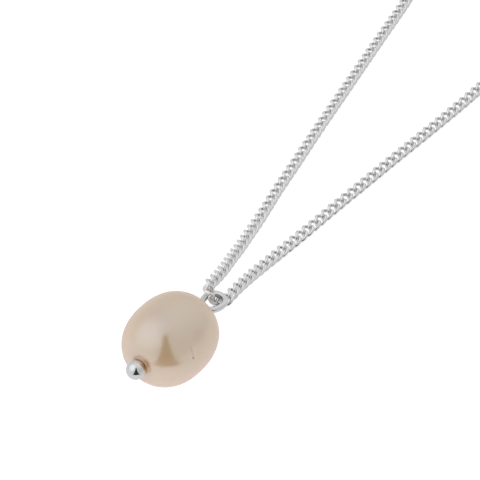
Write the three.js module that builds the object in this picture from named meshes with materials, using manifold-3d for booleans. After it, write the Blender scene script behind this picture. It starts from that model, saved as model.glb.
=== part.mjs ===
// A drilled pearl on a ball-ended pin, hung on a fine curb chain with a spring-ring clasp.
// Millimetres, +Z up. The pendant lies on the table under the origin, with its ball towards -Y.
import * as THREE from 'three';
import { ParametricGeometry } from 'three/addons/geometries/ParametricGeometry.js';
import { mergeVertices } from 'three/addons/utils/BufferGeometryUtils.js';
import Module from 'manifold-3d';

const wasm = await Module();
wasm.setup();

const DEGREE = Math.PI / 180;
const X_AXIS = new THREE.Vector3(1, 0, 0);
const Y_AXIS = new THREE.Vector3(0, 1, 0);
const Z_AXIS = new THREE.Vector3(0, 0, 1);

// ---- Driving dimensions ----
const PEARL_RADIUS = 4.25;
const PEARL_HALF_LENGTH = 4.88;
const PEARL_FULLNESS = 2.3;
const DRILL_RADIUS = 0.42;
const SEAT_RADIUS = 0.8;
const SEAT_DEPTH = 0.4;

const PIN_TILT = 4 * DEGREE;
const PIN_RADIUS = 0.35;
const BALL_RADIUS = 0.95;
const BALL_AT = -5.42;
const NECK_RADIUS = 0.48;
const NECK_START = 4.98;
const LOOP_AT = 7.15;
const LOOP_RADIUS = 1.09;
const LOOP_HALF_WALL = 0.25;
const LOOP_HALF_HEIGHT = 0.32;
const LOOP_DROP = 0.15;

const CHAIN_WIDTH = 1.36;
const CHAIN_PITCH = 1.05;
const LINK_LENGTH = 1.65;
const LINK_WIRE = 0.25;
const LINK_TWIST = -45 * DEGREE / (CHAIN_PITCH / 2);
const LINKS_EACH_SIDE = 10;
const STRAND_RADIUS = 0.42;
const TOUCHING_GAP = 0.3;

const COIL_CENTRE = new THREE.Vector2(-8.7, 74.35);
const COIL_OUTER = 8.8;
const COIL_INNER = 4.6;
const COIL_HEIGHT = 1.7;
const RIGHT_COIL_LIFT = 1.9;
const COIL_CHAMFER = 0.25;

const END_LINK_LENGTH = 1.5;
const END_LINK_HEIGHT = 0.95;
const END_LINK_WIRE = 0.26;
const END_RING_RADIUS = 1.5;
const END_RING_WIRE = 0.34;
const JUMP_RING_RADIUS = 0.8;
const JUMP_RING_WIRE = 0.3;
const RING_CATCH = 1.05;

const CLASP_RADIUS = 2.2;
const CLASP_TUBE = 0.6;
const CLASP_BORE = 0.38;
const CLASP_MOUTH = 55;
const CLASP_SOCKET = 125;
const BORE_END = -125;
const BOLT_RADIUS = 0.3;
const BOLT_NOSE = 133;
const BOLT_TAIL = -15;
const BOLT_TRAVEL = 80;
const KNOB_ANGLE = 30;
const KNOB_RADIUS = 0.16;
const KNOB_REACH = 1.15;
const SLOT_HALF_HEIGHT = 0.24;
const EYE_RADIUS = 0.36;
const EYE_WIRE = 0.3;
const SPRING_RADIUS = 0.24;
const SPRING_WIRE = 0.1;
const SPRING_TURNS = 9;

// ---- The chain's route, from the left coil through the loop to the right coil ----
const LEFT_ROUTE = [
  [-14.85, 67.05, 0.5], [-14.05, 64.9, 0.5], [-13.15, 62.3, 0.5], [-12.4, 59.5, 0.5], [-11.3, 53.4, 0.5],
  [-10.2, 47.3, 0.5], [-9.1, 41.3, 0.5], [-8, 35.3, 0.5], [-7, 30.2, 0.5], [-6, 25, 0.54],
  [-5.3, 22.1, 0.66], [-4.6, 19.3, 0.98], [-4, 17, 1.41], [-3.4, 15, 1.9], [-2.8, 12.8, 2.55],
  [-2.15, 10.8, 3.2], [-1.7, 9.2, 3.74], [-1.4, 7.9, 4.17], [-1.25, 7, 4.47],
];
const LOOP_ROUTE = [
  [-1, 6.3, 4.57], [-0.45, 6, 4.37], [-0.02, 6.1, 3.62], [0.1, 6.6, 2.76],
];
const RIGHT_ROUTE = [
  [0.25, 7.5, 2.54], [0.22, 8.5, 2.56], [0.06, 9.6, 2.4], [-0.1, 11.2, 2.06], [-0.28, 12.9, 1.61],
  [-0.38, 14.9, 1.18], [-0.38, 17.4, 0.8], [-0.28, 20, 0.58], [-0.08, 23, 0.5], [0.22, 26.9, 0.5],
  [0.57, 30.8, 0.5], [1.02, 36, 0.5], [1.52, 41.2, 0.5], [1.97, 46.2, 0.5], [2.32, 51.3, 0.5],
  [2.42, 56, 0.5], [2.17, 60.3, 0.55], [1.8, 63.8, 0.9], [1.35, 67.6, 1.65], [0.75, 71.6, 2.4],
];
const LEFT_TAIL = [[-17.7, 77.5, 0.95], [-17.75, 79.3, 0.65], [-17.55, 81.1, 0.5]];
const RIGHT_TAIL = [[-3.4, 82.3, 2.7], [-4.2, 84.1, 1.6], [-4.95, 85.9, 0.6]];

const SILVER = { color: 0xd9d9d6, roughness: 0.15, metalness: 1 };
const NACRE = { color: 0xd9c4b0, roughness: 0.3, metalness: 0 };

function mesh(name, geometry, finish = SILVER) {
  const piece = new THREE.Mesh(geometry, new THREE.MeshStandardMaterial(finish));
  piece.name = name;
  return piece;
}

// ---- Joining and cutting ----
function solid(geometry) {
  const bare = geometry.clone();
  bare.deleteAttribute('normal');
  bare.deleteAttribute('uv');
  const merged = mergeVertices(bare, 1e-5);
  const vertProperties = new Float32Array(merged.attributes.position.array);
  const triVerts = new Uint32Array(merged.index.array);
  return new wasm.Manifold(new wasm.Mesh({ numProp: 3, vertProperties, triVerts }));
}

function geometryOf(body) {
  const result = body.getMesh();
  const geometry = new THREE.BufferGeometry();
  geometry.setAttribute('position', new THREE.BufferAttribute(new Float32Array(result.vertProperties), 3));
  geometry.setIndex(new THREE.BufferAttribute(new Uint32Array(result.triVerts), 1));
  geometry.computeVertexNormals();
  return geometry;
}

// ---- Curves ----
class Arc extends THREE.Curve {
  constructor(radius, startDegrees, endDegrees) {
    super();
    Object.assign(this, { radius, startDegrees, endDegrees });
  }

  getPoint(t, target = new THREE.Vector3()) {
    const angle = (this.startDegrees + (this.endDegrees - this.startDegrees) * t) * DEGREE;
    return target.set(this.radius * Math.cos(angle), this.radius * Math.sin(angle), 0);
  }
}

class CurvedHelix extends THREE.Curve {
  getPoint(t, target = new THREE.Vector3()) {
    const start = BOLT_TAIL - 3;
    const end = BORE_END + 3;
    const along = (start + (end - start) * t) * DEGREE;
    const around = SPRING_TURNS * 2 * Math.PI * t;
    const radius = CLASP_RADIUS + SPRING_RADIUS * Math.cos(around);
    return target.set(radius * Math.cos(along), radius * Math.sin(along), SPRING_RADIUS * Math.sin(around));
  }
}

// A stretch of a longer curve, measured in millimetres from the long curve's start.
class Stretch extends THREE.Curve {
  constructor(curve, startLength, endLength) {
    super();
    Object.assign(this, { curve, startLength, endLength, whole: curve.getLength() });
  }

  getPoint(t, target = new THREE.Vector3()) {
    const length = this.startLength + (this.endLength - this.startLength) * t;
    return this.curve.getPointAt(Math.min(Math.max(length / this.whole, 0), 1), target);
  }
}

function roundSection(radius, sides) {
  const points = [];
  for (let i = 0; i < sides; i += 1) {
    const angle = (i + 0.5) * 2 * Math.PI / sides;
    points.push(new THREE.Vector2(radius * Math.cos(angle), radius * Math.sin(angle)));
  }
  return new THREE.Shape(points);
}

function tubeAlong(curve, radius, sides, steps) {
  return new THREE.ExtrudeGeometry(roundSection(radius, sides), { steps, extrudePath: curve });
}

function smoothRoute(points) {
  const curve = new THREE.CatmullRomCurve3(points.map((p) => new THREE.Vector3(...p)), false, 'centripetal');
  curve.arcLengthDivisions = 4000;
  return curve;
}

// ---- The pearl: a full oval with a drilled hole and a worn seat where the ball sits ----
function pearlGeometry() {
  const steps = 18;
  const startAngle = Math.asin(SEAT_RADIUS / PEARL_RADIUS);
  const profile = [
    new THREE.Vector2(DRILL_RADIUS, PEARL_HALF_LENGTH - 0.02),
    new THREE.Vector2(DRILL_RADIUS, -PEARL_HALF_LENGTH + 0.02 + SEAT_DEPTH),
    new THREE.Vector2(SEAT_RADIUS, -PEARL_HALF_LENGTH + 0.02),
  ];
  for (let i = 1; i < steps; i += 1) {
    const angle = startAngle + (Math.PI - 2 * startAngle) * i / steps;
    const across = Math.sin(angle);
    const along = (1 - across ** PEARL_FULLNESS) ** (1 / PEARL_FULLNESS) * Math.sign(Math.cos(angle));
    profile.push(new THREE.Vector2(PEARL_RADIUS * across, -PEARL_HALF_LENGTH * along));
  }
  profile.push(profile[0].clone());
  return new THREE.LatheGeometry(profile, 36);
}

// ---- The pin: ball, shank, neck and loop in one piece, along its own +Y ----
function headpinGeometry() {
  const ball = new THREE.SphereGeometry(BALL_RADIUS, 24, 16);
  ball.translate(0, BALL_AT, 0);
  const shankEnd = LOOP_AT - LOOP_RADIUS;
  const shank = new THREE.CylinderGeometry(PIN_RADIUS, PIN_RADIUS, shankEnd - BALL_AT, 16);
  shank.translate(0, (shankEnd + BALL_AT) / 2, 0);
  const neck = new THREE.CylinderGeometry(PIN_RADIUS, NECK_RADIUS, shankEnd - NECK_START, 16);
  neck.translate(0, (shankEnd + NECK_START) / 2, 0);
  const loop = new THREE.TorusGeometry(LOOP_RADIUS, LOOP_HALF_WALL, 10, 32);
  loop.scale(1, 1, LOOP_HALF_HEIGHT / LOOP_HALF_WALL);
  loop.translate(0, LOOP_AT, -LOOP_DROP);
  return geometryOf(solid(ball).add(solid(shank)).add(solid(neck)).add(solid(loop)));
}

// ---- One curb link: an oval of wire, twisted about its length so that its ends stand across ----
function linkGeometry() {
  const halfLength = (LINK_LENGTH - LINK_WIRE) / 2;
  const halfWidth = (CHAIN_WIDTH - LINK_WIRE) / 2;
  const centre = (angle) => {
    const along = halfLength * Math.cos(angle);
    const across = halfWidth * Math.sin(angle);
    const twist = LINK_TWIST * along;
    return new THREE.Vector3(along, across * Math.cos(twist), across * Math.sin(twist));
  };
  const surface = (u, v, target) => {
    const angle = u * 2 * Math.PI;
    const around = v * 2 * Math.PI;
    const middle = centre(angle);
    const tangent = centre(angle + 1e-3).sub(centre(angle - 1e-3)).normalize();
    const twist = LINK_TWIST * middle.x;
    const flat = new THREE.Vector3(0, -Math.sin(twist), Math.cos(twist));
    const side = new THREE.Vector3().crossVectors(tangent, flat).normalize();
    flat.crossVectors(side, tangent);
    target.copy(middle);
    target.addScaledVector(side, LINK_WIRE / 2 * Math.cos(around));
    target.addScaledVector(flat, LINK_WIRE / 2 * Math.sin(around));
  };
  return new ParametricGeometry(surface, 16, 5);
}

function endLinkGeometry() {
  const ring = new THREE.TorusGeometry(1, END_LINK_WIRE / 2, 6, 24);
  const position = ring.attributes.position;
  const point = new THREE.Vector3();
  const stretch = (END_LINK_LENGTH - END_LINK_HEIGHT) / 2;
  const bend = (END_LINK_HEIGHT - END_LINK_WIRE) / 2;
  for (let i = 0; i < position.count; i += 1) {
    point.fromBufferAttribute(position, i);
    const flat = Math.hypot(point.x, point.y);
    const shift = (flat - 1 + bend) / flat;
    const straight = Math.abs(point.x) < 1e-6 ? 0 : Math.sign(point.x) * stretch;
    position.setXYZ(i, point.x * shift + straight, point.y * shift, point.z);
  }
  ring.rotateX(Math.PI / 2);
  ring.rotateZ(Math.PI / 2);
  return ring;
}

function coilGeometry() {
  const c = COIL_CHAMFER;
  const profile = [
    [COIL_INNER, 0], [COIL_OUTER - c, 0], [COIL_OUTER, c], [COIL_OUTER, COIL_HEIGHT - c],
    [COIL_OUTER - c, COIL_HEIGHT], [COIL_INNER, COIL_HEIGHT], [COIL_INNER, 0],
  ].map(([radius, height]) => new THREE.Vector2(radius, height));
  const ring = new THREE.LatheGeometry(profile, 40);
  ring.rotateX(Math.PI / 2);
  return ring;
}

// ---- The spring-ring clasp, flat in its own XY plane, with its eye towards -Y ----
function claspBodyGeometry() {
  const shell = solid(tubeAlong(new Arc(CLASP_RADIUS, CLASP_SOCKET, CLASP_MOUTH + 360), CLASP_TUBE, 12, 30));
  const bore = solid(tubeAlong(new Arc(CLASP_RADIUS, BORE_END, CLASP_MOUTH + 2), CLASP_BORE, 10, 20));
  const socket = solid(tubeAlong(new Arc(CLASP_RADIUS, CLASP_SOCKET - 2, BOLT_NOSE + 4), CLASP_BORE, 10, 3));
  const slotMargin = 7;
  const slotShape = new THREE.Shape();
  const slotStart = (KNOB_ANGLE - BOLT_TRAVEL - slotMargin) * DEGREE;
  const slotEnd = (KNOB_ANGLE + slotMargin) * DEGREE;
  slotShape.absarc(0, 0, CLASP_RADIUS + CLASP_TUBE + 0.3, slotStart, slotEnd, false);
  slotShape.absarc(0, 0, CLASP_RADIUS, slotEnd, slotStart, true);
  const slotOptions = { depth: 2 * SLOT_HALF_HEIGHT, bevelEnabled: false, curveSegments: 14 };
  const slot = new THREE.ExtrudeGeometry(slotShape, slotOptions);
  slot.translate(0, 0, -SLOT_HALF_HEIGHT);
  const eye = new THREE.TorusGeometry(EYE_RADIUS, EYE_WIRE / 2, 8, 20);
  eye.rotateY(Math.PI / 2);
  eye.translate(0, -CLASP_RADIUS - CLASP_TUBE - EYE_RADIUS + 0.04, 0);
  return geometryOf(shell.subtract(bore).subtract(socket).subtract(solid(slot)).add(solid(eye)));
}

function claspBoltGeometry() {
  const bolt = solid(tubeAlong(new Arc(CLASP_RADIUS, BOLT_TAIL, BOLT_NOSE), BOLT_RADIUS, 10, 18));
  const knob = new THREE.CylinderGeometry(KNOB_RADIUS, KNOB_RADIUS, KNOB_REACH, 12);
  knob.rotateZ(-Math.PI / 2);
  knob.translate(CLASP_RADIUS + KNOB_REACH / 2, 0, 0);
  knob.rotateZ(KNOB_ANGLE * DEGREE);
  return geometryOf(bolt.add(solid(knob)));
}

// ---- Placing the links: each spans two hinge points a pitch apart along the route ----
function hingePoints(curve, middleLength) {
  const whole = curve.getLength();
  const pointAt = (length) => curve.getPointAt(length / whole);
  const march = (start, direction, count) => {
    const found = [];
    let length = start;
    let last = pointAt(start);
    for (let i = 0; i < count; i += 1) {
      while (pointAt(length).distanceTo(last) < CHAIN_PITCH) {
        length += direction * 0.01;
      }
      last = pointAt(length);
      found.push({ length, point: last });
    }
    return found;
  };
  const first = { length: middleLength, point: pointAt(middleLength) };
  const left = march(middleLength, -1, LINKS_EACH_SIDE + 1);
  const right = march(middleLength, 1, LINKS_EACH_SIDE);
  return [...left.reverse(), first, ...right];
}

// The flat side starts level, is carried along without turning, and ends level again.
function placeLinks(group, hinges) {
  const spans = hinges.slice(1).map((hinge, i) => hinge.point.clone().sub(hinges[i].point).normalize());
  const carried = [Z_AXIS.clone()];
  for (let i = 1; i < spans.length; i += 1) {
    const turn = new THREE.Quaternion().setFromUnitVectors(spans[i - 1], spans[i]);
    carried.push(carried[i - 1].clone().applyQuaternion(turn));
  }
  const lastSpan = spans[spans.length - 1];
  const level = Z_AXIS.clone().projectOnPlane(lastSpan).normalize();
  const lastUp = carried[carried.length - 1];
  const sine = new THREE.Vector3().crossVectors(lastUp, level).dot(lastSpan);
  const roll = Math.atan(sine / lastUp.dot(level));
  const middle = LINKS_EACH_SIDE;
  spans.forEach((span, i) => {
    const share = i <= middle ? 0 : (i - middle) / (spans.length - 1 - middle);
    const up = carried[i].projectOnPlane(span).normalize().applyAxisAngle(span, roll * share);
    const side = new THREE.Vector3().crossVectors(up, span);
    const order = i - middle;
    const sideName = order < 0 ? `left_link_${-order}` : `right_link_${order}`;
    const link = mesh(order === 0 ? 'middle_link' : sideName, linkGeometry());
    link.quaternion.setFromRotationMatrix(new THREE.Matrix4().makeBasis(span, side, up));
    link.position.copy(hinges[i].point).add(hinges[i + 1].point).multiplyScalar(0.5);
    group.add(link);
  });
}

function routeLength(curve, point) {
  const whole = curve.getLength();
  const samples = 4000;
  let best = 0;
  for (let i = 1; i <= samples; i += 1) {
    if (curve.getPointAt(i / samples).distanceTo(point) < curve.getPointAt(best / samples).distanceTo(point)) {
      best = i;
    }
  }
  return whole * best / samples;
}

function strand(name, curve, from, to, steps) {
  return mesh(name, tubeAlong(new Stretch(curve, from, to), STRAND_RADIUS, 8, steps));
}

function tail(name, points) {
  return mesh(name, tubeAlong(smoothRoute(points), STRAND_RADIUS, 8, 3));
}

// A chain end's own frame: at the last point of its tail, on the table, with +Y along the tail.
function endFrame(points) {
  const [before, last] = points.slice(-2);
  const frame = new THREE.Group();
  frame.position.set(last[0], last[1], 0);
  frame.rotation.z = Math.atan2(last[1] - before[1], last[0] - before[0]) - Math.PI / 2;
  return frame;
}

// ---- Assembly ----
const necklace = new THREE.Group();

const pendant = new THREE.Group();
// How far the pearl's lowest point lies under its centre, for an oval of that fullness tilted so.
const reach = PEARL_FULLNESS / (PEARL_FULLNESS - 1);
const acrossReach = (PEARL_RADIUS * Math.cos(PIN_TILT)) ** reach;
const alongReach = (PEARL_HALF_LENGTH * Math.sin(PIN_TILT)) ** reach;
const restHeight = (acrossReach + alongReach) ** (1 / reach);
const pendantLength = LOOP_AT + LOOP_RADIUS + LOOP_HALF_WALL - BALL_AT + BALL_RADIUS;
const pendantMiddle = (LOOP_AT + LOOP_RADIUS + LOOP_HALF_WALL) - pendantLength / 2;
pendant.position.set(0, -pendantMiddle * Math.cos(PIN_TILT), restHeight);
pendant.rotation.x = -PIN_TILT;
pendant.add(mesh('pearl', pearlGeometry(), NACRE));
pendant.add(mesh('headpin', headpinGeometry()));
necklace.add(pendant);

const route = smoothRoute([...LEFT_ROUTE, ...LOOP_ROUTE, ...RIGHT_ROUTE]);
const hinges = hingePoints(route, routeLength(route, new THREE.Vector3(...LOOP_ROUTE[2])) + CHAIN_PITCH / 2);
placeLinks(necklace, hinges);
const linkReach = (LINK_LENGTH - CHAIN_PITCH) / 2 + TOUCHING_GAP;
const leftEnd = hinges[0].length - linkReach;
const rightStart = hinges[hinges.length - 1].length + linkReach;
necklace.add(strand('left_strand', route, 0, leftEnd, 32));
necklace.add(strand('right_strand', route, rightStart, route.getLength(), 34));

[['left_coil', 0], ['right_coil', RIGHT_COIL_LIFT]].forEach(([name, lift]) => {
  const coil = mesh(name, coilGeometry());
  coil.position.set(COIL_CENTRE.x, COIL_CENTRE.y, lift);
  necklace.add(coil);
});
necklace.add(tail('left_tail', LEFT_TAIL));
necklace.add(tail('right_tail', RIGHT_TAIL));

const leftFrame = endFrame(LEFT_TAIL);
const leftLift = 0.5;
const leftEndLink = mesh('left_end_link', endLinkGeometry());
leftEndLink.position.set(0, END_LINK_LENGTH / 2 + TOUCHING_GAP, leftLift);
leftFrame.add(leftEndLink);
const ringHinge = new THREE.Group();
ringHinge.position.set(0, RING_CATCH + TOUCHING_GAP, leftLift);
ringHinge.rotation.x = -Math.atan2(leftLift - END_RING_WIRE / 2, 2 * END_RING_RADIUS);
const endRing = mesh('end_ring', new THREE.TorusGeometry(END_RING_RADIUS, END_RING_WIRE / 2, 8, 36));
endRing.position.y = END_RING_RADIUS;
ringHinge.add(endRing);
leftFrame.add(ringHinge);
necklace.add(leftFrame);

const rightFrame = endFrame(RIGHT_TAIL);
const rightLift = CLASP_TUBE;
const rightEndLink = mesh('right_end_link', endLinkGeometry());
rightEndLink.position.set(0, END_LINK_LENGTH / 2 + TOUCHING_GAP, rightLift);
const jumpRing = mesh('jump_ring', new THREE.TorusGeometry(JUMP_RING_RADIUS, JUMP_RING_WIRE / 2, 8, 28));
jumpRing.position.set(0, RING_CATCH + TOUCHING_GAP + JUMP_RING_RADIUS, rightLift);
const clasp = new THREE.Group();
const eyeAt = RING_CATCH + TOUCHING_GAP + 2 * JUMP_RING_RADIUS;
clasp.position.set(0, eyeAt + EYE_RADIUS + CLASP_TUBE + CLASP_RADIUS - 0.04, rightLift);
clasp.add(mesh('clasp_body', claspBodyGeometry()));
clasp.add(mesh('clasp_bolt', claspBoltGeometry()));
clasp.add(mesh('clasp_spring', tubeAlong(new CurvedHelix(), SPRING_WIRE / 2, 5, SPRING_TURNS * 8)));
rightFrame.add(rightEndLink, jumpRing, clasp);
necklace.add(rightFrame);

export default necklace;
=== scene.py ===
# %% [markdown]
# # A pearl on a curb chain
# One drilled pearl sits on a ball-ended silver pin. The pin's other end is turned into a loop, and a fine
# curb chain runs through the loop. The chain closes behind the neck with a spring-ring clasp.
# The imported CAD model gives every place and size. Blender adds the fine shapes, the finishes and the light.

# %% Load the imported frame
import math

import bpy
import numpy as np
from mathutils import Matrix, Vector


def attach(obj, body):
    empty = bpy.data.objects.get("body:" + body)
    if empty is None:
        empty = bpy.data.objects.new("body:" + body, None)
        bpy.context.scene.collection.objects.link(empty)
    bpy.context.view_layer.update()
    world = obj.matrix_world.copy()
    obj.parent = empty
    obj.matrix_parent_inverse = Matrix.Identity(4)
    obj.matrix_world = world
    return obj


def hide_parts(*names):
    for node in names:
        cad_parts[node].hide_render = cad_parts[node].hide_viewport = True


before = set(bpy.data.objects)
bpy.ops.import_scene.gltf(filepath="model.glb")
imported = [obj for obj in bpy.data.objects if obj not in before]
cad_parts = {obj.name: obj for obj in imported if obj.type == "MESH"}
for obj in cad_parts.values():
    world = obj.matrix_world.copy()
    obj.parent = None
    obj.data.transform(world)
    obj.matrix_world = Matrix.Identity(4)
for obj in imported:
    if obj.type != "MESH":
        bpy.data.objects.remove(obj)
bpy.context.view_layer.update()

MM = 0.001

# %% [markdown]
# ## The camera
# A jeweller's still is taken with a long lens from well above the table, so near and far links keep nearly
# the same size. The camera is turned towards one point on the table, at a given azimuth and elevation.
# No depth of field is used, because the camera is moved to other places to look at the sides and the back.

# %% Place the camera
CAMERA_AZIMUTH = math.radians(35.8)
CAMERA_ELEVATION = math.radians(44.0)
CAMERA_DISTANCE = 259.96 * MM
CAMERA_TARGET = Vector((-5.164, 17.492, 0.0)) * MM
LENS = 191.2
SENSOR = 36.0


def direction_at(azimuth, elevation):
    """The unit vector that points from the target back to a viewer: azimuth turns it from -Y towards +X."""
    level = math.cos(elevation)
    return Vector((math.sin(azimuth) * level, -math.cos(azimuth) * level, math.sin(elevation)))


towards_camera = direction_at(CAMERA_AZIMUTH, CAMERA_ELEVATION)
lens_data = bpy.data.cameras.new("still_camera")
lens_data.lens = LENS
lens_data.sensor_width = SENSOR
lens_data.clip_start = 0.01
camera = bpy.data.objects.new("still_camera", lens_data)
camera.location = CAMERA_TARGET + towards_camera * CAMERA_DISTANCE
camera.rotation_euler = towards_camera.to_track_quat("Z", "Y").to_euler()
bpy.context.scene.collection.objects.link(camera)
bpy.context.scene.camera = camera
print("camera at mm:", [round(v / MM, 1) for v in camera.location])

# %% [markdown]
# ## Surfaces from grids
# Each new piece is a grid of points: rows follow a path, and columns go round its section. numpy works out
# all the points at once. One function sews a grid, or a stack of equal grids, into a mesh.
# It caps open ends with a fan of triangles and turns the faces outwards by the sign of the volume.

# %% Sew grids into meshes


def unit(vectors):
    """Each vector divided by its own length."""
    return vectors / np.linalg.norm(vectors, axis=-1, keepdims=True)


def sew(grids, closed):
    """Points and faces of a stack of grids (copies, rows, columns, 3).

    Columns always wrap round. Rows wrap too when closed; otherwise each end gets a centre point and a fan.
    The signed volume is the sum of a . (b x c) / 6 over the faces' triangles: negative means inside out."""
    copies, rows, columns = grids.shape[:3]
    row = np.arange(rows if closed else rows - 1)[:, None]
    column = np.arange(columns)[None, :]
    next_row, next_column = (row + 1) % rows, (column + 1) % columns
    corners = (row * columns + column, row * columns + next_column,
               next_row * columns + next_column, next_row * columns + column)
    quads = np.stack(np.broadcast_arrays(*corners), axis=-1).reshape(-1, 4)
    points = grids.reshape(copies, -1, 3)
    fans = np.zeros((0, 3), int)
    if not closed:
        ends = grids[:, [0, -1]].mean(axis=2)
        first_cap, last_cap = rows * columns, rows * columns + 1
        ring, after = column[0], next_column[0]
        last = (rows - 1) * columns
        fans = np.concatenate([
            np.stack([np.full(columns, first_cap), after, ring], axis=-1),
            np.stack([np.full(columns, last_cap), last + ring, last + after], axis=-1)])
        points = np.concatenate([points, ends], axis=1)
    triangles = np.concatenate([quads[:, [0, 1, 2]], quads[:, [0, 2, 3]], fans])
    a, b, c = (points[0][triangles[:, i]] for i in range(3))
    if np.einsum("ij,ij->", a, np.cross(b, c)) < 0:
        quads, fans = quads[:, ::-1], fans[:, ::-1]
    offsets = np.arange(copies)[:, None, None] * points.shape[1]
    faces = (quads[None] + offsets).reshape(-1, 4).tolist()
    faces += (fans[None] + offsets).reshape(-1, 3).tolist()
    return points.reshape(-1, 3), faces


def make_object(name, parts):
    """One smooth-shaded mesh object from a list of (points, faces) parts."""
    points, faces, start = [], [], 0
    for part_points, part_faces in parts:
        points.append(part_points)
        faces += [[i + start for i in face] for face in part_faces]
        start += len(part_points)
    mesh = bpy.data.meshes.new(name)
    mesh.from_pydata((np.concatenate(points) * MM).tolist(), [], faces)
    mesh.polygons.foreach_set("use_smooth", np.ones(len(mesh.polygons), bool))
    mesh.update()
    made = bpy.data.objects.new(name, mesh)
    bpy.context.scene.collection.objects.link(made)
    return made


def make_piece(name, parts, body, replaced=()):
    """A piece made from parts in millimetres. It rides on a body and stands for CAD nodes."""
    piece = make_object(name, parts)
    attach(piece, body)
    if replaced:
        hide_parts(*replaced)
    print(f"{name}: {len(piece.data.vertices)} points, {len(piece.data.polygons)} faces, on {body}")
    return piece


# %% [markdown]
# ## Carrying a section along a path
# Wire, rings and tubes are all one idea: a small outline carried along a centreline. At each point the
# outline stands across the path, and a hint direction says which way is up, so it never twists by itself.

# %% Sweep a section along a centreline


def sweep(centre, up, section, closed):
    """A grid from an outline (m, 2) or (n, m, 2) carried along centre (n, 3), with up (3,) or (n, 3) as a hint.

    side = tangent x up, then up is straightened to side x tangent; a point is centre + x side + y up."""
    if closed:
        tangent = np.roll(centre, -1, axis=-2) - np.roll(centre, 1, axis=-2)
    else:
        tangent = np.gradient(centre, axis=-2)
    tangent = unit(tangent)
    side = unit(np.cross(tangent, up))
    straight = np.cross(side, tangent)
    x, y = section[..., 0], section[..., 1]
    return (centre[..., None, :] + side[..., None, :] * x[..., None]
            + straight[..., None, :] * y[..., None])


def round_outline(radius, sides):
    """A circle of points."""
    angle = np.arange(sides) * 2 * math.pi / sides
    return radius * np.stack([np.cos(angle), np.sin(angle)], axis=-1)


def fat_outline(half_width, half_height, fullness, sides):
    """A superellipse: a circle's cosine and sine each raised to 2/fullness, so 2 is an ellipse."""
    angle = (np.arange(sides) + 0.5) * 2 * math.pi / sides
    cosine, sine = np.cos(angle), np.sin(angle)
    power = 2 / fullness
    return np.stack([half_width * np.sign(cosine) * np.abs(cosine) ** power,
                     half_height * np.sign(sine) * np.abs(sine) ** power], axis=-1)


def rounded_rod(centre, up, radius, sides, nose_rows=5):
    """A round bar with domed ends: the end rows shrink as a cosine while they move on by a sine."""
    turn = np.linspace(0, math.pi / 2, nose_rows + 1)[1:] * 0.98
    first, last = unit(centre[0] - centre[1]), unit(centre[-1] - centre[-2])
    head = centre[0] + first * radius * np.sin(turn[::-1])[:, None]
    nose = centre[-1] + last * radius * np.sin(turn)[:, None]
    path = np.concatenate([head, centre, nose])
    scale = np.concatenate([np.cos(turn[::-1]), np.ones(len(centre)), np.cos(turn)])
    section = round_outline(radius, sides)[None] * scale[:, None, None]
    ups = np.broadcast_to(up, centre.shape)
    ups = np.concatenate([np.repeat(ups[:1], nose_rows, 0), ups, np.repeat(ups[-1:], nose_rows, 0)])
    return sweep(path, ups, section, closed=False)


# %% [markdown]
# ## The chain's route
# The chain is limp, so it lies in loose curves on the table, climbs over the pin's loop and comes down
# inside it. A smooth curve through a few listed points gives that shape. Behind the view each side is
# wound into a small round coil, the left one under the right one, and its tail leads to the clasp.

# %% Smooth curve through points


def smooth_curve(points, steps=24):
    """A centripetal Catmull-Rom curve: between two points it is a cubic whose end slopes average the
    neighbouring chords, each divided by the square root of its length."""
    points = np.array(points, float)
    ends = 2 * points[0] - points[1], 2 * points[-1] - points[-2]
    p = np.concatenate([ends[:1], points, ends[1:]])
    d = np.linalg.norm(np.diff(p, axis=0), axis=1)[:, None] ** 0.5
    p0, p1, p2, p3 = p[:-3], p[1:-2], p[2:-1], p[3:]
    d0, d1, d2 = d[:-2], d[1:-1], d[2:]
    slope1 = ((p1 - p0) / d0 - (p2 - p0) / (d0 + d1) + (p2 - p1) / d1) * d1
    slope2 = ((p2 - p1) / d1 - (p3 - p1) / (d1 + d2) + (p3 - p2) / d2) * d1
    t = np.linspace(0, 1, steps, endpoint=False)[None, :, None]
    p1, p2, slope1, slope2 = (v[:, None, :] for v in (p1, p2, slope1, slope2))
    curve = ((2 * t**3 - 3 * t**2 + 1) * p1 + (t**3 - 2 * t**2 + t) * slope1
             + (3 * t**2 - 2 * t**3) * p2 + (t**3 - t**2) * slope2)
    return np.concatenate([curve.reshape(-1, 3), points[-1:]])


def distance_along(curve):
    """How far each point lies along the curve, from its start."""
    return np.concatenate([[0], np.cumsum(np.linalg.norm(np.diff(curve, axis=0), axis=1))])


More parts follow.
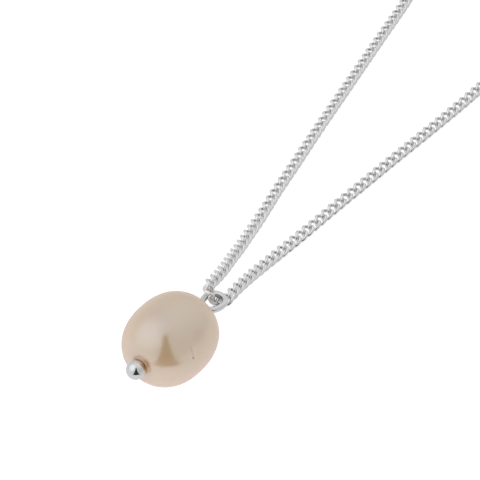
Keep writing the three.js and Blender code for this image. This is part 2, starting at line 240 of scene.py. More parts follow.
# %% The route's points, in millimetres
CHAIN_WIDTH = 1.36
LEFT_ROUTE = [
    (-14.85, 67.05, 0.5), (-14.05, 64.9, 0.5), (-13.15, 62.3, 0.5), (-12.4, 59.5, 0.5), (-11.3, 53.4, 0.5),
    (-10.2, 47.3, 0.5), (-9.1, 41.3, 0.5), (-8.0, 35.3, 0.5), (-7.0, 30.2, 0.5), (-6.0, 25.0, 0.54),
    (-5.3, 22.1, 0.66), (-4.6, 19.3, 0.98), (-4.0, 17.0, 1.41), (-3.4, 15.0, 1.9), (-2.8, 12.8, 2.55),
    (-2.15, 10.8, 3.2), (-1.7, 9.2, 3.74), (-1.4, 7.9, 4.17), (-1.25, 7.0, 4.47)]
LOOP_ROUTE = [(-1.0, 6.3, 4.57), (-0.45, 6.0, 4.37), (-0.02, 6.1, 3.62), (0.1, 6.6, 2.76)]
RIGHT_ROUTE = [
    (0.25, 7.5, 2.54), (0.22, 8.5, 2.56), (0.06, 9.6, 2.4), (-0.1, 11.2, 2.06), (-0.28, 12.9, 1.61),
    (-0.38, 14.9, 1.18), (-0.38, 17.4, 0.8), (-0.28, 20.0, 0.58), (-0.08, 23.0, 0.5), (0.22, 26.9, 0.5),
    (0.57, 30.8, 0.5), (1.02, 36.0, 0.5), (1.52, 41.2, 0.5), (1.97, 46.2, 0.5), (2.32, 51.3, 0.5),
    (2.42, 56.0, 0.5), (2.17, 60.3, 0.55), (1.8, 63.8, 0.9), (1.35, 67.6, 1.65), (0.75, 71.6, 2.4)]
LEFT_TAIL = [(-17.7, 77.5, 0.95), (-17.75, 79.3, 0.65), (-17.55, 81.1, 0.5)]
RIGHT_TAIL = [(-3.4, 82.3, 2.7), (-4.2, 84.1, 1.6), (-4.95, 85.9, 0.6)]
COIL_CENTRE = (-8.7, 74.35)
COIL_TURNS = 4
TURN_POINTS = 16
COIL_MIDDLE = 5.3
COIL_SPACING = 1.4
COIL_LAYER = 0.86
STEP_TURNS = 0.3


def coil_points(start_angle, sense, floor_height):
    """Turns that wind in along the bottom and out again on top.

    The radius is the smallest one plus the spacing times the turns from the middle; the height steps up by
    one layer through a smooth S just after the innermost turn."""
    turns = np.arange(COIL_TURNS * TURN_POINTS) / TURN_POINTS
    radius = COIL_MIDDLE + np.abs(turns - COIL_TURNS / 2) * COIL_SPACING
    angle = math.radians(start_angle) + sense * 2 * math.pi * turns
    step = np.clip((turns - COIL_TURNS / 2) / STEP_TURNS + 0.5, 0, 1)
    height = floor_height + COIL_LAYER * step**2 * (3 - 2 * step)
    return np.stack([COIL_CENTRE[0] + radius * np.cos(angle), COIL_CENTRE[1] + radius * np.sin(angle),
                     height], axis=-1).tolist()


left_coil = coil_points(190, -1, 0.43)
right_coil = coil_points(25, 1, 2.33)
route = smooth_curve([*LEFT_TAIL[::-1], *left_coil[::-1], *LEFT_ROUTE, *LOOP_ROUTE, *RIGHT_ROUTE,
                      *right_coil, *RIGHT_TAIL])
route_length = distance_along(route)
middle = np.argmin(np.linalg.norm(route - LOOP_ROUTE[2], axis=1))
print(f"chain: {route_length[-1]:.1f} mm, of which left {route_length[middle]:.1f} mm")

# %% [markdown]
# ## Curb links
# A curb chain is made of oval wire links, each twisted a quarter turn along its length so that they all
# lie flat. Real links are closed wire, so each is a ring of round section. Every link spans two hinge
# points one pitch apart, measured straight across, so neighbours really hook into each other.

# %% One link, as a ring of twisted wire
LINK_PITCH = 1.05
LINK_WIRE = 0.36
LINK_PLAY = 0.03
LINK_LENGTH = LINK_PITCH + 2 * LINK_WIRE + LINK_PLAY
LINK_TWIST = -math.radians(45) / (LINK_PITCH / 2)


def curb_link(steps, sides):
    """A ring of wire: an oval (half length cos t, half width sin t) whose width is turned about the length
    by the twist times the distance from the middle.

    Also gives how sheltered each point is: 1 where the wire faces the link's middle, 0 on the outside."""
    angle = np.arange(steps) * 2 * math.pi / steps
    along = (LINK_LENGTH - LINK_WIRE) / 2 * np.cos(angle)
    across = (CHAIN_WIDTH - LINK_WIRE) / 2 * np.sin(angle)
    twist = LINK_TWIST * along
    centre = np.stack([along, across * np.cos(twist), across * np.sin(twist)], axis=-1)
    flat = np.stack([np.zeros(steps), -np.sin(twist), np.cos(twist)], axis=-1)
    grid = sweep(centre, flat, round_outline(LINK_WIRE / 2, sides), closed=True)
    outward = (grid - centre[:, None]) / (LINK_WIRE / 2)
    shelter = -np.einsum("rck,rk->rc", outward, unit(centre))
    return grid, np.clip(shelter, 0, 1)


# %% Hinge points, one pitch apart


def at_length(length):
    """The route's point or points at these lengths from its start."""
    length = np.asarray(length, float)
    return np.stack([np.interp(length, route_length, route[:, i]) for i in range(3)], axis=-1)


def march(start, sense):
    """Hinge lengths from start to the route's end, each the first place a pitch away in a straight line."""
    reach = np.linspace(0.98, 1.7, 145) * LINK_PITCH
    found = [start]
    while True:
        ahead = found[-1] + sense * reach
        gap = np.linalg.norm(at_length(ahead) - at_length(found[-1]), axis=-1)
        following = ahead[np.argmax(gap >= LINK_PITCH)]
        if not 0 < following < route_length[-1]:
            return found[1:]
        found.append(following)


first_hinge = route_length[middle] + LINK_PITCH / 2
left_hinges = march(first_hinge, -1)
right_hinges = march(first_hinge, 1)
hinges = at_length(left_hinges[::-1] + [first_hinge] + right_hinges)
middle_link = len(left_hinges) - 1
spans = unit(np.diff(hinges, axis=0))
centres = (hinges[1:] + hinges[:-1]) / 2
print(f"{len(spans)} links; the one in the loop is number {middle_link + 1}")

# %% [markdown]
# In the coils the chain's flat side faces up. The two strands lean a little on their side, and more where
# they climb to the loop. Through the loop the chain can't turn about its own length by itself, so its
# upward direction is carried from link to link, and the turn left over at the end is shared out. A slow
# wobble of a few degrees keeps the links from looking machine-laid.

# %% Which way each link faces
TRANSPORTED = 10
WOBBLE = math.radians(7)
TURNING = 18
LEAN_LEFT, LEAN_LEFT_LOOP = math.radians(-18), math.radians(-55)
LEAN_RIGHT, LEAN_RIGHT_LOOP = math.radians(28), math.radians(45)
LEVEL_FROM, LEVEL_AT = 60, 75


def turned(vector, axis, angle):
    """A vector turned about a unit axis at right angles to it."""
    return vector * np.cos(angle) + np.cross(axis, vector) * np.sin(angle)


def smooth_share(share):
    """A share from 0 to 1 along a smooth S."""
    share = np.clip(share, 0, 1)
    return share * share * (3 - 2 * share)


upright = np.array([0.0, 0.0, 1.0])
order = np.arange(len(spans)) - middle_link
near_loop = smooth_share((TURNING - np.abs(order)) / TURNING)
strand = smooth_share((LEVEL_AT - np.abs(order)) / (LEVEL_AT - LEVEL_FROM))
lean = np.where(order < 0, LEAN_LEFT + (LEAN_LEFT_LOOP - LEAN_LEFT) * near_loop,
                LEAN_RIGHT + (LEAN_RIGHT_LOOP - LEAN_RIGHT) * near_loop) * strand
wobble = WOBBLE * np.sin(order / 4.3) * np.sin(order / 11.0 + 0.6)
ups = unit(upright - spans * spans[:, 2:])
ups = turned(ups, spans, (lean + wobble)[:, None])
end = middle_link + TRANSPORTED
for i in range(middle_link - 1, end + 1):
    wanted = ups[i].copy()
    carried = ups[i - 1] - spans[i] * np.dot(ups[i - 1], spans[i])
    ups[i] = carried / np.linalg.norm(carried)
left_over = math.atan2(np.dot(np.cross(ups[end], wanted), spans[end]), np.dot(ups[end], wanted))
for i in range(middle_link + 1, end + 1):
    ups[i] = turned(ups[i], spans[i], left_over * (i - middle_link) / TRANSPORTED)
frames = np.stack([spans, np.cross(ups, spans), ups], axis=1)
print(f"turn left over through the loop: {math.degrees(left_over):.1f} degrees")

# %% [markdown]
# Links near the pearl are seen closest, so they get the finest rings. The rest of the strands and the
# coils repeat hundreds of times, so there a link has only a few dozen faces.

# %% Build both sides of the chain
FINE = (28, 10)
PLAIN = (14, 5)
COARSE = (10, 4)
FINE_REACH = 16
SEEN_REACH = 74


def chain_side(name, chosen, replaced):
    """All the links of one side: each link's local x, y and z go along its span, side and up."""
    far = np.abs(order)
    parts, sheltered = [], []
    for detail, within in ((FINE, far <= FINE_REACH), (PLAIN, (far > FINE_REACH) & (far <= SEEN_REACH)),
                           (COARSE, far > SEEN_REACH)):
        picked = within & chosen
        link, shelter = curb_link(*detail)
        grids = np.einsum("rck,nkj->nrcj", link, frames[picked])
        parts.append(sew(grids + centres[picked][:, None, None, :], closed=True))
        sheltered.append(np.tile(shelter.ravel(), picked.sum()))
    piece = make_piece(name, parts, "chain", replaced)
    # The shelter value later paints shade into the chain's colour.
    layer = piece.data.attributes.new("shelter", "FLOAT", "POINT")
    layer.data.foreach_set("value", np.concatenate(sheltered).astype(np.float32))
    return piece


def node_names(side):
    """The CAD nodes of one side of the chain."""
    return [f"{side}_link_{i}" for i in range(1, TRANSPORTED + 1)] + [f"{side}_{part}" for part in
                                                                      ("strand", "coil", "tail")]


left_chain = chain_side("left_chain", order < 0, node_names("left"))
right_chain = chain_side("right_chain", order >= 0, ["middle_link", *node_names("right")])

# %% [markdown]
# ## The ends of the chain
# Each side ends in a small oval link. A soldered ring hangs on the left one. On the right one, an open
# jump ring carries the clasp. Each end has its own frame: at the last point of its tail, on the table,
# with local y along the tail. Shapes are made in that frame first, then carried to their place.

# %% Frames of the two ends
END_SWEEP = 48


def end_frame(tail):
    """The origin and axes (as rows x, y, z) of a chain end."""
    before, last = np.array(tail[-2]), np.array(tail[-1])
    along = unit(np.array([last[0] - before[0], last[1] - before[1], 0.0]))
    return np.array([last[0], last[1], 0.0]), np.stack([np.cross(along, upright), along, upright])


def placed(grid, frame_at, shift):
    """A grid in an end's frame, moved by shift and carried to its place on the table."""
    origin, axes = frame_at
    return (grid + np.array(shift, float)) @ axes + origin


def ring_line(radius, stretch=0.0, start=0.0, turn=2 * math.pi, steps=END_SWEEP):
    """A circle in the local xy plane, its halves drawn apart along y by stretch; a part turn is an arc."""
    whole = abs(turn - 2 * math.pi) < 1e-9
    angle = start + np.linspace(0, turn, steps, endpoint=not whole)
    sine = np.sin(angle)
    pull = stretch * np.sign(np.where(np.abs(sine) < 1e-9, 0, sine))
    return np.stack([radius * np.cos(angle), radius * sine + pull, np.zeros_like(angle)], axis=-1)


def stood_up(line):
    """A line in the local xy plane, stood up into the yz plane."""
    return line[..., [2, 1, 0]]


left_end, right_end = end_frame(LEFT_TAIL), end_frame(RIGHT_TAIL)
side_axis = np.array([1.0, 0.0, 0.0])

# %% End links, end ring and jump ring
END_WIRE = 0.26
RING_WIRE = 0.34
JUMP_WIRE = 0.3
end_link_line = stood_up(ring_line(0.345, stretch=0.275))
end_link_grid = sweep(end_link_line, side_axis, round_outline(END_WIRE / 2, 12), closed=True)
left_link_mesh = sew(placed(end_link_grid, left_end, (0, 1.05, 0.5))[None], True)
left_end_link = make_piece("left_end_link_wire", [left_link_mesh], "chain", ["left_end_link"])
right_link_mesh = sew(placed(end_link_grid, right_end, (0, 1.05, 0.6))[None], True)
right_end_link = make_piece("right_end_link_wire", [right_link_mesh], "chain",
                            ["right_end_link"])

RING_DROP, RING_SPAN = 0.33, 3
droop = math.atan2(RING_DROP, RING_SPAN)
ring_grid = sweep(ring_line(1.5) + [0, 1.5, 0], upright, round_outline(RING_WIRE / 2, 16), closed=True)
tip = np.array([[1, 0, 0], [0, math.cos(droop), -math.sin(droop)], [0, math.sin(droop), math.cos(droop)]])
end_ring = make_piece("end_ring_wire", [sew(placed(ring_grid @ tip, left_end, (0, 1.35, 0.5))[None], True)],
                      "end_ring", ["end_ring"])

JUMP_CUT = math.radians(2.5)
jump_line = ring_line(0.8, start=JUMP_CUT / 2, turn=2 * math.pi - JUMP_CUT, steps=64)
jump_grid = sweep(jump_line, upright, round_outline(JUMP_WIRE / 2, 14), closed=False)
jump_ring = make_piece("jump_ring_wire", [sew(placed(jump_grid, right_end, (0, 2.15, 0.6))[None], False)],
                       "jump_ring", ["jump_ring"])

# %% [markdown]
# ## The spring-ring clasp
# A spring ring is a hollow tube bent into a ring with a mouth. A bolt slides inside it and closes the
# mouth, and a small knob pokes out of a slot for the thumbnail. The tube is one closed surface, outside
# and bore in one profile. The slot is cut, and the eye joined on, with exact Booleans.

# %% Joining and cutting closed shapes


def fuse(base, parts, operation):
    """Joins (UNION) parts to a piece or cuts (DIFFERENCE) them out of it, and keeps the new mesh."""
    tool = make_object("tool", parts)
    boolean = base.modifiers.new("fuse", "BOOLEAN")
    boolean.operation, boolean.solver, boolean.object = operation, "EXACT", tool
    bpy.context.view_layer.update()
    evaluated = base.evaluated_get(bpy.context.evaluated_depsgraph_get())
    fused = bpy.data.meshes.new_from_object(evaluated)
    base.modifiers.remove(boolean)
    base.data = fused
    bpy.data.objects.remove(tool)
    fused.polygons.foreach_set("use_smooth", np.ones(len(fused.polygons), bool))
    fused.set_sharp_from_angle(angle=math.radians(38))
    print(f"{base.name}: {len(fused.polygons)} faces after the {operation.lower()}")


# %% The clasp's body
CLASP_RADIUS, CLASP_TUBE, CLASP_BORE = 2.2, 0.6, 0.38
SOCKET, MOUTH = math.radians(125), math.radians(415)
clasp_at = (0, 6.07, 0.6)


def arc_line(radius, start, finish, steps):
    """Points on an arc about the clasp's centre, in its own plane."""
    angle = np.linspace(start, finish, steps)
    return np.stack([radius * np.cos(angle), radius * np.sin(angle), np.zeros(steps)], axis=-1)


tube_line = arc_line(CLASP_RADIUS, SOCKET, MOUTH, 97)
EDGE = 0.05
ends_in = unit(tube_line[1] - tube_line[0]) * EDGE, unit(tube_line[-2] - tube_line[-1]) * EDGE
outside = sweep(tube_line, upright, round_outline(CLASP_TUBE, 32), closed=False)
bore = sweep(tube_line, upright, round_outline(CLASP_BORE, 32), closed=False)
outside[0] += ends_in[0]
outside[-1] += ends_in[1]
lip_outline = round_outline(CLASP_TUBE - EDGE, 32)
lips = [sweep(tube_line, upright, lip_outline, closed=False)[i] for i in (0, -1)]
shell = np.concatenate([outside, lips[1][None], bore[::-1], lips[0][None]])
clasp_body = make_piece("clasp_tube", [sew(placed(shell, right_end, clasp_at)[None], True)],
                        "clasp", ["clasp_body"])

SLOT_START, SLOT_END = math.radians(-57), math.radians(37)
slot_outline = fat_outline(0.45, 0.24, 8, 16)
slot_grid = sweep(arc_line(CLASP_RADIUS + 0.5, SLOT_START, SLOT_END, 40), upright, slot_outline, closed=False)
fuse(clasp_body, [sew(placed(slot_grid, right_end, clasp_at)[None], False)], "DIFFERENCE")

EYE_RADIUS, EYE_WIRE = 0.36, 0.3
eye_line = stood_up(ring_line(EYE_RADIUS, steps=36)) + [0, -CLASP_RADIUS - CLASP_TUBE - EYE_RADIUS + 0.04, 0]
eye_grid = sweep(eye_line, side_axis, round_outline(EYE_WIRE / 2, 14), closed=True)
fuse(clasp_body, [sew(placed(eye_grid, right_end, clasp_at)[None], True)], "UNION")

# %% The bolt and its knob
BOLT_RADIUS, BOLT_TAIL, BOLT_NOSE = 0.3, math.radians(-15), math.radians(133)
KNOB_ANGLE, KNOB_RADIUS, KNOB_REACH = math.radians(30), 0.16, 1.15
NOSE_ALLOWANCE = BOLT_RADIUS / CLASP_RADIUS
bolt_line = arc_line(CLASP_RADIUS, BOLT_TAIL, BOLT_NOSE - NOSE_ALLOWANCE, 60)
bolt_grid = rounded_rod(bolt_line, upright, BOLT_RADIUS, 20)
clasp_bolt = make_piece("clasp_bolt_pin", [sew(placed(bolt_grid, right_end, clasp_at)[None], False)],
                        "bolt", ["clasp_bolt"])
knob_way = np.array([math.cos(KNOB_ANGLE), math.sin(KNOB_ANGLE), 0.0])
knob_line = knob_way * np.linspace(CLASP_RADIUS, CLASP_RADIUS + KNOB_REACH - KNOB_RADIUS, 6)[:, None]
knob_grid = rounded_rod(knob_line, upright, KNOB_RADIUS, 16)
fuse(clasp_bolt, [sew(placed(knob_grid, right_end, clasp_at)[None], False)], "UNION")

# %% [markdown]
# ## The pin
# A headpin is one piece of wire. Its ball end stops the pearl, the shank runs through the drilled hole,
# and the free end is turned into a loop that narrows towards the pearl. It is modelled as a turned profile
# and a carried section, joined into one closed body.

# %% The pendant's own frame
PIN_TILT = math.radians(4)
PENDANT_AT = np.array([0.0, -1.0549, 4.2672])
pin_axis = np.array([0.0, math.cos(PIN_TILT), -math.sin(PIN_TILT)])
pendant_up = np.array([0.0, math.sin(PIN_TILT), math.cos(PIN_TILT)])
pendant_axes = np.stack([side_axis, pin_axis, pendant_up])


def on_pendant(grid):
    """A grid in the pendant's frame (y along the pin, away from the ball) carried to its place."""
    return grid @ pendant_axes + PENDANT_AT


def turned_profile(profile, steps):
    """A profile of (radius, along) pairs turned about the pin's axis: rows follow it, columns go round."""
    angle = np.arange(steps) * 2 * math.pi / steps
    radius, along = np.array(profile, float).T[:, :, None]
    return np.stack(np.broadcast_arrays(radius * np.cos(angle), along, radius * np.sin(angle)), axis=-1)


# %% Ball, shank, neck and loop
BALL_RADIUS, BALL_AT, SHANK_RADIUS = 0.95, -5.42, 0.35
LOOP_AT, LOOP_RADIUS, LOOP_DROP = 7.15, 1.03, 0.15
LOOP_THROAT, LOOP_ROWS = 1.5, 96
ball_angle = np.linspace(0.04, math.pi - math.asin(SHANK_RADIUS / BALL_RADIUS), 40)
ball = np.stack([BALL_RADIUS * np.sin(ball_angle), BALL_AT - BALL_RADIUS * np.cos(ball_angle)], axis=-1)
shank = [(SHANK_RADIUS, along) for along in np.linspace(-4.6, 4.7, 8)]
neck = [(0.36, 4.88), (0.42, 4.93), (0.465, 5.0), (0.475, 5.08), (0.45, 5.2), (0.41, 5.4), (0.36, 5.62),
        (0.3, 5.75), (0.2, 5.82)]
pin = make_piece("headpin_wire", [sew(on_pendant(turned_profile([*ball, *shank, *neck], 40))[None], False)],
                 "pin", ["headpin"])

loop_angle = np.arange(LOOP_ROWS) * 2 * math.pi / LOOP_ROWS
narrowing = np.where(np.cos(loop_angle) > 0, LOOP_RADIUS, LOOP_THROAT)
loop_line = np.stack([LOOP_RADIUS * np.sin(loop_angle), LOOP_AT + narrowing * np.cos(loop_angle),
                      np.full(LOOP_ROWS, -LOOP_DROP)], axis=-1)
loop_grid = sweep(loop_line, upright, fat_outline(0.31, 0.32, 2.4, 24), closed=True)
fuse(pin, [sew(on_pendant(loop_grid)[None], True)], "UNION")

# %% [markdown]
# ## The pearl
# A cultured pearl grows in layers, so it is a full oval that is never quite true. The profile is a
# superellipse, fuller than an ellipse, with a drilled bore and a small worn seat under the ball. The
# surface swells and sinks by a few hundredths of a millimetre, which bends its reflections gently.

# %% Shape the pearl
PEARL_RADIUS, PEARL_HALF, PEARL_FULLNESS = 4.25, 4.88, 2.3
BORE_RADIUS, SEAT_RADIUS, SEAT_DEPTH = 0.42, 0.78, 0.36
SWELL = 0.018
SKIN_ROWS, PEARL_COLUMNS = 110, 144
start_angle = math.asin((SEAT_RADIUS + 0.05) / PEARL_RADIUS)
angle = np.linspace(start_angle, math.pi - math.asin((BORE_RADIUS + 0.05) / PEARL_RADIUS), SKIN_ROWS)
across = np.sin(angle)
along = np.sign(np.cos(angle)) * (1 - across**PEARL_FULLNESS) ** (1 / PEARL_FULLNESS)
skin = np.stack([PEARL_RADIUS * across, -PEARL_HALF * along], axis=-1)
bore_end, seat_end = PEARL_HALF - 0.02, -PEARL_HALF + 0.02
bore_profile = [(BORE_RADIUS + 0.015, bore_end), (BORE_RADIUS, bore_end - 0.04), (BORE_RADIUS, 2.0),
                (BORE_RADIUS, -2.0), (BORE_RADIUS, seat_end + SEAT_DEPTH), (0.5, seat_end + 0.3),
                (0.6, seat_end + 0.205), (0.7, seat_end + 0.11), (SEAT_RADIUS - 0.02, seat_end + 0.035)]
pearl_grid = turned_profile(np.concatenate([skin, bore_profile]), PEARL_COLUMNS)
around = np.arange(PEARL_COLUMNS) * 2 * math.pi / PEARL_COLUMNS
lift = np.zeros((len(pearl_grid), PEARL_COLUMNS))
lift[:SKIN_ROWS] = (np.sin(2 * around[None] + 1.1 + 2.0 * angle[:, None]) * 0.5
              + np.sin(3 * around[None] - 0.7 + 3.5 * angle[:, None]) * 0.3
              + np.cos(around[None] + 5.0 * angle[:, None]) * 0.35) * np.sin(angle)[:, None] ** 2
pearl_grid[..., [0, 2]] *= (1 + (SWELL * (lift - lift.max()) / PEARL_RADIUS))[..., None]
pearl = make_piece("pearl_body", [sew(on_pendant(pearl_grid)[None], True)], "pearl", ["pearl"])

# %% [markdown]


# %% [markdown]
# ## Finishes
# Each material starts from what the real one is. Colours are sRGB hex values turned to linear light, since
# the shader works in linear light. Patterns read Object coordinates, which are metres here because every
# piece sits at the origin, so a pattern's scale is one over its size in metres.

# %% Colours and nodes


def linear(hex_colour):
    """An sRGB hex colour as linear RGBA: below 0.04045 divide by 12.92, above raise to the power 2.4."""
    channels = np.array([int(hex_colour[i:i + 2], 16) for i in (1, 3, 5)]) / 255
    light = np.where(channels <= 0.04045, channels / 12.92, ((channels + 0.055) / 1.055) ** 2.4)
    return (*light.tolist(), 1.0)


def per(millimetres):
    """The scale that makes a pattern repeat about once in this many millimetres."""
    return 1 / (millimetres * MM)


def add(tree, kind, settings, **sockets):
    """Adds a node: settings are its own properties; sockets are named with underscores for spaces, or by
    number as _0, and each takes a value or another node's output."""
    node = tree.nodes.new(kind)
    for name, value in settings.items():
        setattr(node, name, value)
    for name, value in sockets.items():
        socket = node.inputs[int(name[1:])] if name[1:].isdigit() else node.inputs[name.replace("_", " ")]
        if isinstance(value, bpy.types.NodeSocket):
            tree.links.new(value, socket)
        else:
            socket.default_value = value
    return node


def tint(tree, amount, base, colour):
    """Mixes a colour over a base colour by an amount."""
    return add(tree, "ShaderNodeMix", {"data_type": "RGBA"}, _0=amount, _6=base, _7=colour).outputs[2]


def spot(tree, place, centre, inner, outer):
    """1 within inner millimetres of a point, falling smoothly to 0 at outer millimetres."""
    distance = add(tree, "ShaderNodeVectorMath", {"operation": "DISTANCE"}, _0=place, _1=tuple(centre))
    return add(tree, "ShaderNodeMapRange", {"interpolation_type": "SMOOTHSTEP"}, Value=distance.outputs["Value"],
               _1=inner * MM, _2=outer * MM, _3=1.0, _4=0.0).outputs["Result"]


def new_material(name):
    """An empty node material with its output node: returns the material, its tree and the output."""
    material = bpy.data.materials.new(name)
    material.use_nodes = True
    material.node_tree.nodes.clear()
    return material, material.node_tree, material.node_tree.nodes.new("ShaderNodeOutputMaterial")


def give(piece, material):
    """Puts one material on every face of a piece."""
    piece.data.materials.clear()
    piece.data.materials.append(material)


# %% [markdown]
# Silver jewellery is cast or drawn, tumbled bright and often rhodium plated: a cool, nearly white metal
# with a sharp gloss. Tiny dents from wear and tumbling break up its reflections. Shade is painted into the
# colour inside the links and inside the pin's loop, darkening the metal there: the links carry how
# sheltered they are as an attribute, and the loop's inside is found by its distance from the middle.

# %% Polished, tumbled silver
LOOP_CENTRE = on_pendant(np.array([0.0, LOOP_AT, -LOOP_DROP])) * MM


def silver(name, colour, painted_shade, shade_reach, roughness, dent_size, dent_depth):
    """Metal with its reflections broken by two sizes of faint dents, gloss that varies a little, and shade painted
    into its colour where the wire is sheltered and inside the pin's loop.
    """
    material, tree, output = new_material(name)
    place = tree.nodes.new("ShaderNodeTexCoord").outputs["Object"]
    dents = add(tree, "ShaderNodeTexNoise", {}, Vector=place, Scale=per(dent_size), Detail=3.0, Roughness=0.55)
    gloss = add(tree, "ShaderNodeMapRange", {}, Value=dents.outputs["Fac"], _1=0.3, _2=0.7,
                _3=roughness * 0.75, _4=roughness * 1.35)
    bump = add(tree, "ShaderNodeBump", {}, Strength=1.0, Distance=dent_depth * MM, Height=dents.outputs["Fac"])
    # Painted shade: the colour is darkened towards the second colour where the wire is sheltered and inside the
    # pin's loop.
    shelter = add(tree, "ShaderNodeAttribute", {"attribute_name": "shelter"}).outputs["Fac"]
    reached = add(tree, "ShaderNodeMapRange", {"interpolation_type": "SMOOTHSTEP"}, Value=shelter, _1=0.15, _2=0.8)
    in_loop = spot(tree, place, LOOP_CENTRE, *shade_reach)
    painted_shade_mask = add(tree, "ShaderNodeMath", {"operation": "MAXIMUM"}, _0=reached.outputs["Result"], _1=in_loop)
    shaded_colour = tint(tree, painted_shade_mask.outputs[0], linear(colour), linear(painted_shade))
    shader = add(tree, "ShaderNodeBsdfPrincipled", {}, Base_Color=shaded_colour, Metallic=1.0,
                 Roughness=gloss.outputs["Result"], Normal=bump.outputs["Normal"])
    tree.links.new(shader.outputs[0], output.inputs["Surface"])
    return material


# Each finish's second colour is painted shade, used where the metal is sheltered or inside the pin's loop.
pin_finish = silver("rhodium_plated_silver_polished", "#EFF0F1", "#B0AFAD", (0.78, 0.92), 0.07, 0.35, 0.003)
chain_finish = silver("silver_wire_tumbled", "#FCFCFD", "#E4E4E3", (0.5, 1.2), 0.15, 0.12, 0.004)
clasp_finish = silver("silver_plate_stamped", "#E9EAEA", "#B0AFAD", (0.78, 0.92), 0.12, 0.3, 0.004)
spring_finish = silver("spring_steel_drawn", "#B9B8B4", "#8A8987", (0.78, 0.92), 0.25, 0.08, 0.002)
for piece in (left_chain, right_chain, left_end_link, right_end_link):
    give(piece, chain_finish)
for piece in (end_ring, jump_ring, clasp_body, clasp_bolt):
    give(piece, clasp_finish)
give(pin, pin_finish)
give(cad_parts["clasp_spring"], spring_finish)

# %% [markdown]
# Nacre is thousands of clear layers over a creamy core. Light enters and scatters softly, while the
# layers together reflect much more than one clear surface would, so its highlights are broad and strong.
# Its body colour drifts between cream and rose, and the drilled end has an orange rim on one side where the layers
# are worn through; it is painted lighter to stand in for light in the crevice by the ball. A small brown fleck
# with a faint streak is a flaw in the outer layers.
# Clear nacre's own index is near 1.6. A higher one stands for the many layers, with a slightly cool tint.

# %% Nacre
# The worn and lightened rim's centre is given about 0.17 mm further along each axis, which the wandering noise
# takes away.
WORN_AND_LIT_RIM_CENTRE = on_pendant(np.array([0.44, -PEARL_HALF + 0.22, 0.59])) * MM
FLECK_AT = on_pendant(np.array([3.95, -1.67, 1.06])) * MM
STREAK_TOP = on_pendant(np.array([3.40, -1.54, 2.32])) * MM
SHADE_AT = on_pendant(np.array([3.56, -0.11, 2.32])) * MM


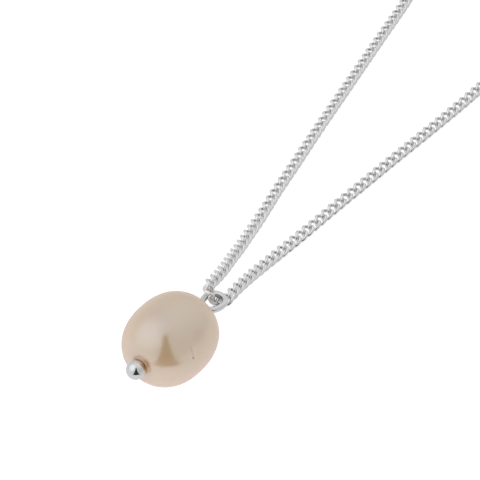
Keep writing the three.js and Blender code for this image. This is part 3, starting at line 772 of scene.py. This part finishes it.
def nacre():
    """Cream to rose body colour with its worn rim, painted lighter, a painted dark reflection and a fleck, under a
    strong soft gloss.
    """
    material, tree, output = new_material("nacre_freshwater_pearl")
    place = tree.nodes.new("ShaderNodeTexCoord").outputs["Object"]
    cloud = add(tree, "ShaderNodeTexNoise", {}, Vector=place, Scale=per(6.5), Detail=2.0, Roughness=0.5)
    height = add(tree, "ShaderNodeSeparateXYZ", {}, Vector=place).outputs["Z"]
    rise = add(tree, "ShaderNodeMapRange", {}, Value=height, _1=0.5 * MM, _2=7.5 * MM, _3=-0.25, _4=0.35)
    drift = add(tree, "ShaderNodeMath", {"operation": "ADD"}, _0=cloud.outputs["Fac"], _1=rise.outputs["Result"])
    creamy = add(tree, "ShaderNodeMapRange", {"interpolation_type": "SMOOTHSTEP"}, Value=drift.outputs[0],
                 _1=0.3, _2=0.75)
    body = tint(tree, creamy.outputs["Result"], linear("#F2D1BD"), linear("#FCD6AA"))
    # Painted reflection: a soft darker spot on the pearl's side stands in for the reflection of a dark part of the
    # tent.
    shade = add(tree, "ShaderNodeMath", {"operation": "MULTIPLY"}, _0=spot(tree, place, SHADE_AT, 0.2, 1.3),
                _1=0.12)
    body = tint(tree, shade.outputs[0], body, linear("#B99A7C"))
    wander = add(tree, "ShaderNodeTexNoise", {}, Vector=place, Scale=per(0.7), Detail=2.0)
    shifted = add(tree, "ShaderNodeVectorMath", {"operation": "MULTIPLY_ADD"}, _0=wander.outputs["Color"],
                  _1=(0.35 * MM,) * 3, _2=place)
    # Worn orange rim by the drilled end, its colour painted lighter to stand in for light in the crevice beside
    # the ball.
    worn_and_lit_rim = spot(tree, shifted.outputs[0], WORN_AND_LIT_RIM_CENTRE, 0.85, 1.15)
    body = tint(tree, worn_and_lit_rim, body, linear("#E9AA4C"))
    fleck = spot(tree, place, FLECK_AT, 0.05, 0.19)
    body = tint(tree, fleck, body, linear("#B97030"))
    axis = STREAK_TOP - FLECK_AT
    along_streak = add(tree, "ShaderNodeVectorMath", {"operation": "SUBTRACT"}, _0=place, _1=tuple(FLECK_AT))
    onto = add(tree, "ShaderNodeVectorMath", {"operation": "PROJECT"}, _0=along_streak.outputs[0], _1=tuple(axis))
    beside = add(tree, "ShaderNodeVectorMath", {"operation": "DISTANCE"}, _0=along_streak.outputs[0],
                 _1=onto.outputs[0])
    thin = add(tree, "ShaderNodeMapRange", {"interpolation_type": "SMOOTHSTEP"}, Value=beside.outputs["Value"],
               _1=0.03 * MM, _2=0.16 * MM, _3=1.0, _4=0.0)
    near = spot(tree, place, (STREAK_TOP + FLECK_AT) / 2, 0.2, 0.75)
    streak = add(tree, "ShaderNodeMath", {"operation": "MULTIPLY"}, _0=thin.outputs["Result"], _1=near)
    faint = add(tree, "ShaderNodeMath", {"operation": "MULTIPLY"}, _0=streak.outputs[0], _1=0.45)
    body = tint(tree, faint.outputs[0], body, linear("#D9A970"))
    grain = add(tree, "ShaderNodeTexNoise", {}, Vector=place, Scale=per(1.6), Detail=2.0, Roughness=0.5)
    bump = add(tree, "ShaderNodeBump", {}, Strength=1.0, Distance=0.012 * MM, Height=grain.outputs["Fac"])
    gloss = add(tree, "ShaderNodeMapRange", {}, Value=grain.outputs["Fac"], _1=0.3, _2=0.7, _3=0.19, _4=0.25)
    shader = add(tree, "ShaderNodeBsdfPrincipled", {}, Base_Color=body, Roughness=gloss.outputs["Result"],
                 IOR=2.5, Specular_IOR_Level=1.0, Specular_Tint=(0.75, 0.87, 1.0, 1.0), Subsurface_Weight=0.6,
                 Subsurface_Scale=0.8 * MM, Subsurface_Radius=(1.0, 0.7, 0.5), Normal=bump.outputs["Normal"])
    tree.links.new(shader.outputs[0], output.inputs["Surface"])
    return material


give(pearl, nacre())

# %% [markdown]
# ## Table and light
# The necklace lies on a white table inside a white tent, so soft light comes from every side. The tent
# has one opening in front, narrow at the top and wide at the bottom, and polished metal and nacre show it
# as a dark shape. The tent is the world's light; the table is a large pale plane.

# %% The white table
table_mesh = bpy.data.meshes.new("white_table")
TABLE_HALF = 1.5
table_mesh.from_pydata([(-TABLE_HALF, -TABLE_HALF, 0), (TABLE_HALF, -TABLE_HALF, 0), (TABLE_HALF, TABLE_HALF, 0),
                        (-TABLE_HALF, TABLE_HALF, 0)], [], [(0, 1, 2, 3)])
table = bpy.data.objects.new("white_table", table_mesh)
bpy.context.scene.collection.objects.link(table)
table_finish, tree, output = new_material("white_paper_sheet")
paper = add(tree, "ShaderNodeBsdfPrincipled", {}, Base_Color=(0.45, 0.45, 0.45, 1.0), Roughness=0.9,
            Specular_IOR_Level=0.1, Emission_Color=(1.0, 1.0, 1.0, 1.0), Emission_Strength=0.8)
tree.links.new(paper.outputs[0], output.inputs["Surface"])
give(table, table_finish)
table.visible_glossy = False

# %% The tent's light
world = bpy.data.worlds.new("white_tent")
bpy.context.scene.world = world
world.use_nodes = True
tree = world.node_tree
tree.nodes.clear()
heading = tree.nodes.new("ShaderNodeTexCoord").outputs["Generated"]


def part_along(direction):
    """How far the light's direction goes along a fixed direction."""
    return add(tree, "ShaderNodeVectorMath", {"operation": "DOT_PRODUCT"}, _0=heading,
               _1=tuple(direction)).outputs["Value"]


def maths(operation, first, second):
    """One step of arithmetic."""
    return add(tree, "ShaderNodeMath", {"operation": operation}, _0=first, _1=second).outputs[0]


def soft_step(value, low, high):
    """0 below low, 1 above high, and a smooth S between."""
    return add(tree, "ShaderNodeMapRange", {"interpolation_type": "SMOOTHSTEP"}, Value=value, _1=low,
               _2=high).outputs["Result"]


OPENING_HALF, OPENING_TAPER, OPENING_FLARE = 0.427, 0.36, 0.25
OPENING_SHIFT, EDGE_SOFTNESS, OPENING_DARKNESS = 0.08, 0.03, 0.95
WALL_LIGHT, LEFT_LIGHT, BACK_LIGHT, RIGHT_SHADE, FLOOR_LIGHT = 0.60, 0.34, 0.12, 0.10, 0.1
front = (math.sin(CAMERA_AZIMUTH), -math.cos(CAMERA_AZIMUTH), 0.0)
beside_front = (math.cos(CAMERA_AZIMUTH), math.sin(CAMERA_AZIMUTH), 0.0)
height = part_along((0.0, 0.0, 1.0))
flare = maths("MULTIPLY", maths("MINIMUM", height, 0.0), -OPENING_FLARE)
half_width = maths("ADD", maths("SUBTRACT", OPENING_HALF, maths("MULTIPLY", height, OPENING_TAPER)), flare)
offset = maths("ABSOLUTE", maths("SUBTRACT", part_along(beside_front), OPENING_SHIFT), 0.0)
inside = soft_step(maths("SUBTRACT", half_width, offset), -EDGE_SOFTNESS, EDGE_SOFTNESS)
above_sill = soft_step(height, -0.32, -0.28)
under_top = soft_step(height, 0.955, 0.93)
in_front = soft_step(part_along(front), 0.0, 0.05)
opening = maths("MULTIPLY", maths("MULTIPLY", inside, above_sill), maths("MULTIPLY", under_top, in_front))

left_lamp = soft_step(part_along(Vector((-0.44, -0.51, 0.74)).normalized()), 0.6, 1.0)
back_lamp = soft_step(part_along(Vector((0.17, 0.60, 0.78)).normalized()), 0.6, 1.0)
right_wall = soft_step(part_along(Vector((0.93, 0.35, 0.1)).normalized()), 0.3, 1.0)
below = soft_step(height, 0.05, -0.05)
tent = maths("ADD", WALL_LIGHT, maths("MULTIPLY", left_lamp, LEFT_LIGHT))
tent = maths("ADD", tent, maths("MULTIPLY", back_lamp, BACK_LIGHT))
tent = maths("SUBTRACT", tent, maths("MULTIPLY", right_wall, RIGHT_SHADE))
tent = maths("ADD", tent, maths("MULTIPLY", below, FLOOR_LIGHT))
tent = maths("MULTIPLY", tent, maths("SUBTRACT", 1.0, maths("MULTIPLY", opening, OPENING_DARKNESS)))
seen = tree.nodes.new("ShaderNodeLightPath").outputs["Is Camera Ray"]
brightness = maths("MAXIMUM", tent, seen)
background = add(tree, "ShaderNodeBackground", {}, Color=linear("#FFFFFF"), Strength=brightness)
world_output = tree.nodes.new("ShaderNodeOutputWorld")
tree.links.new(background.outputs[0], world_output.inputs["Surface"])
bpy.context.scene.view_settings.view_transform = "Standard"
